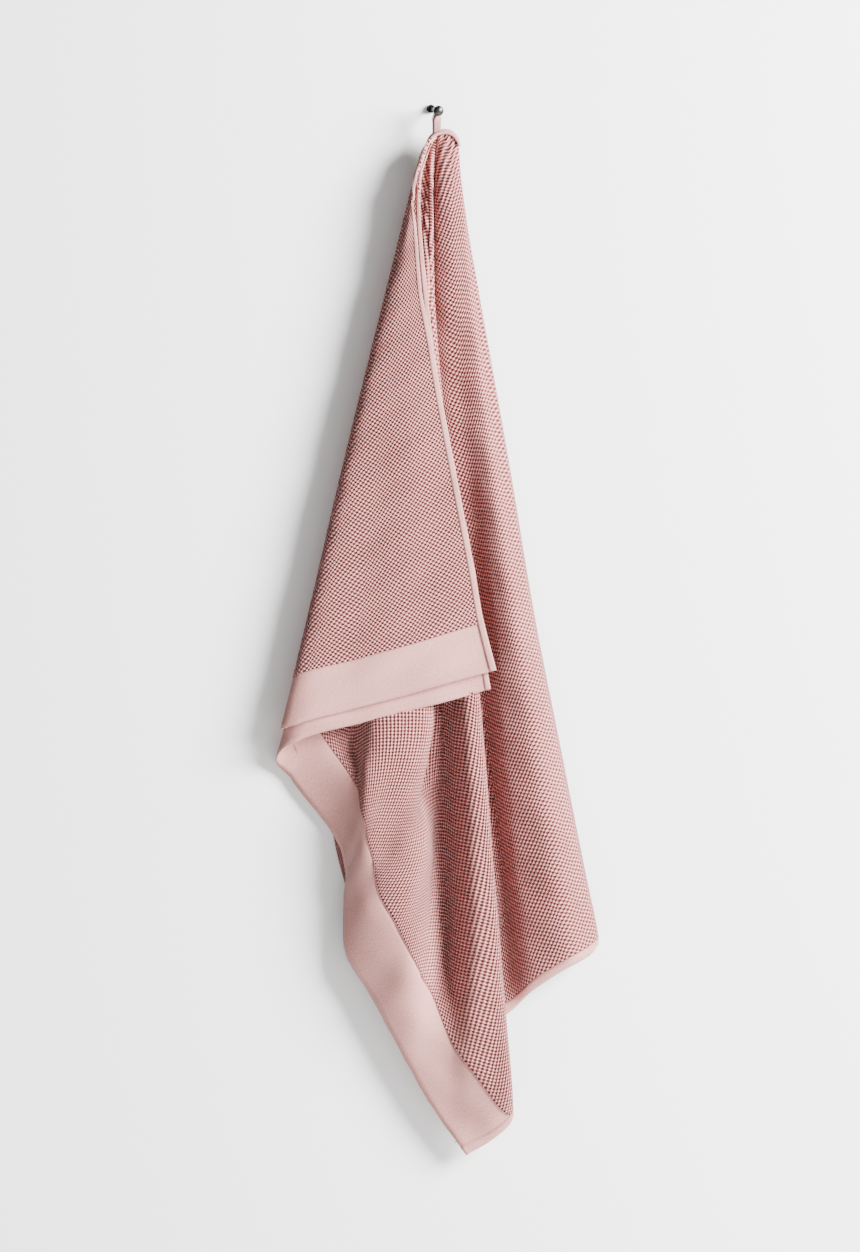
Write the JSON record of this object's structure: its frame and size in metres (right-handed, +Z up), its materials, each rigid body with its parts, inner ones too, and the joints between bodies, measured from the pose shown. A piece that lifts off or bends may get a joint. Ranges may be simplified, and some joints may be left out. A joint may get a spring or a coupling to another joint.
{
  "type": "hanging bath towel",
  "caption": "Waffle-weave bath towel with flat-woven end bands, hung by its tape loop from a small wall peg and folded over once to the front.",
  "frame": {"origin": "middle of the peg's wall plate, on the wall", "axes": "+Z up, +Y into the wall, +X to the right as seen from the room"},
  "size_m": [0.3902, 0.0623, 1.2887],
  "materials": {
    "gunmetal": "dark polished metal",
    "tape": "woven cotton tape",
    "waffle_cloth": "waffle-textured cotton terry, matt",
    "flat_weave": "flat-woven cotton, matt"
  },
  "bodies": {
    "peg": {"wall_plate": "gunmetal", "peg_stem": "gunmetal", "peg_knob": "gunmetal"},
    "loop": {"hanging_loop": "tape"},
    "towel": {"top_hem": "flat_weave", "right_panel": "waffle_cloth", "far_side_hem": "flat_weave", "front_panel": "waffle_cloth", "lower_end_band": "flat_weave", "inner_flap": "waffle_cloth", "inner_end_band": "flat_weave", "inner_side_hem": "flat_weave", "outer_flap": "waffle_cloth", "outer_end_band": "flat_weave", "outer_side_hem": "flat_weave"}
  },
  "joints": [
    {"name": "loop_swing", "type": "hinge", "parent": "peg", "child": "loop", "pos_m": [0.00695, -0.034, -0.00416], "axis": [0, 1, 0], "range_deg": [-20, 20]},
    {"name": "towel_lift", "type": "hinge", "parent": "loop", "child": "towel", "pos_m": [0.00695, -0.034, -0.03416], "axis": [-1, 0, 0], "range_deg": [0, 40]}
  ]
}
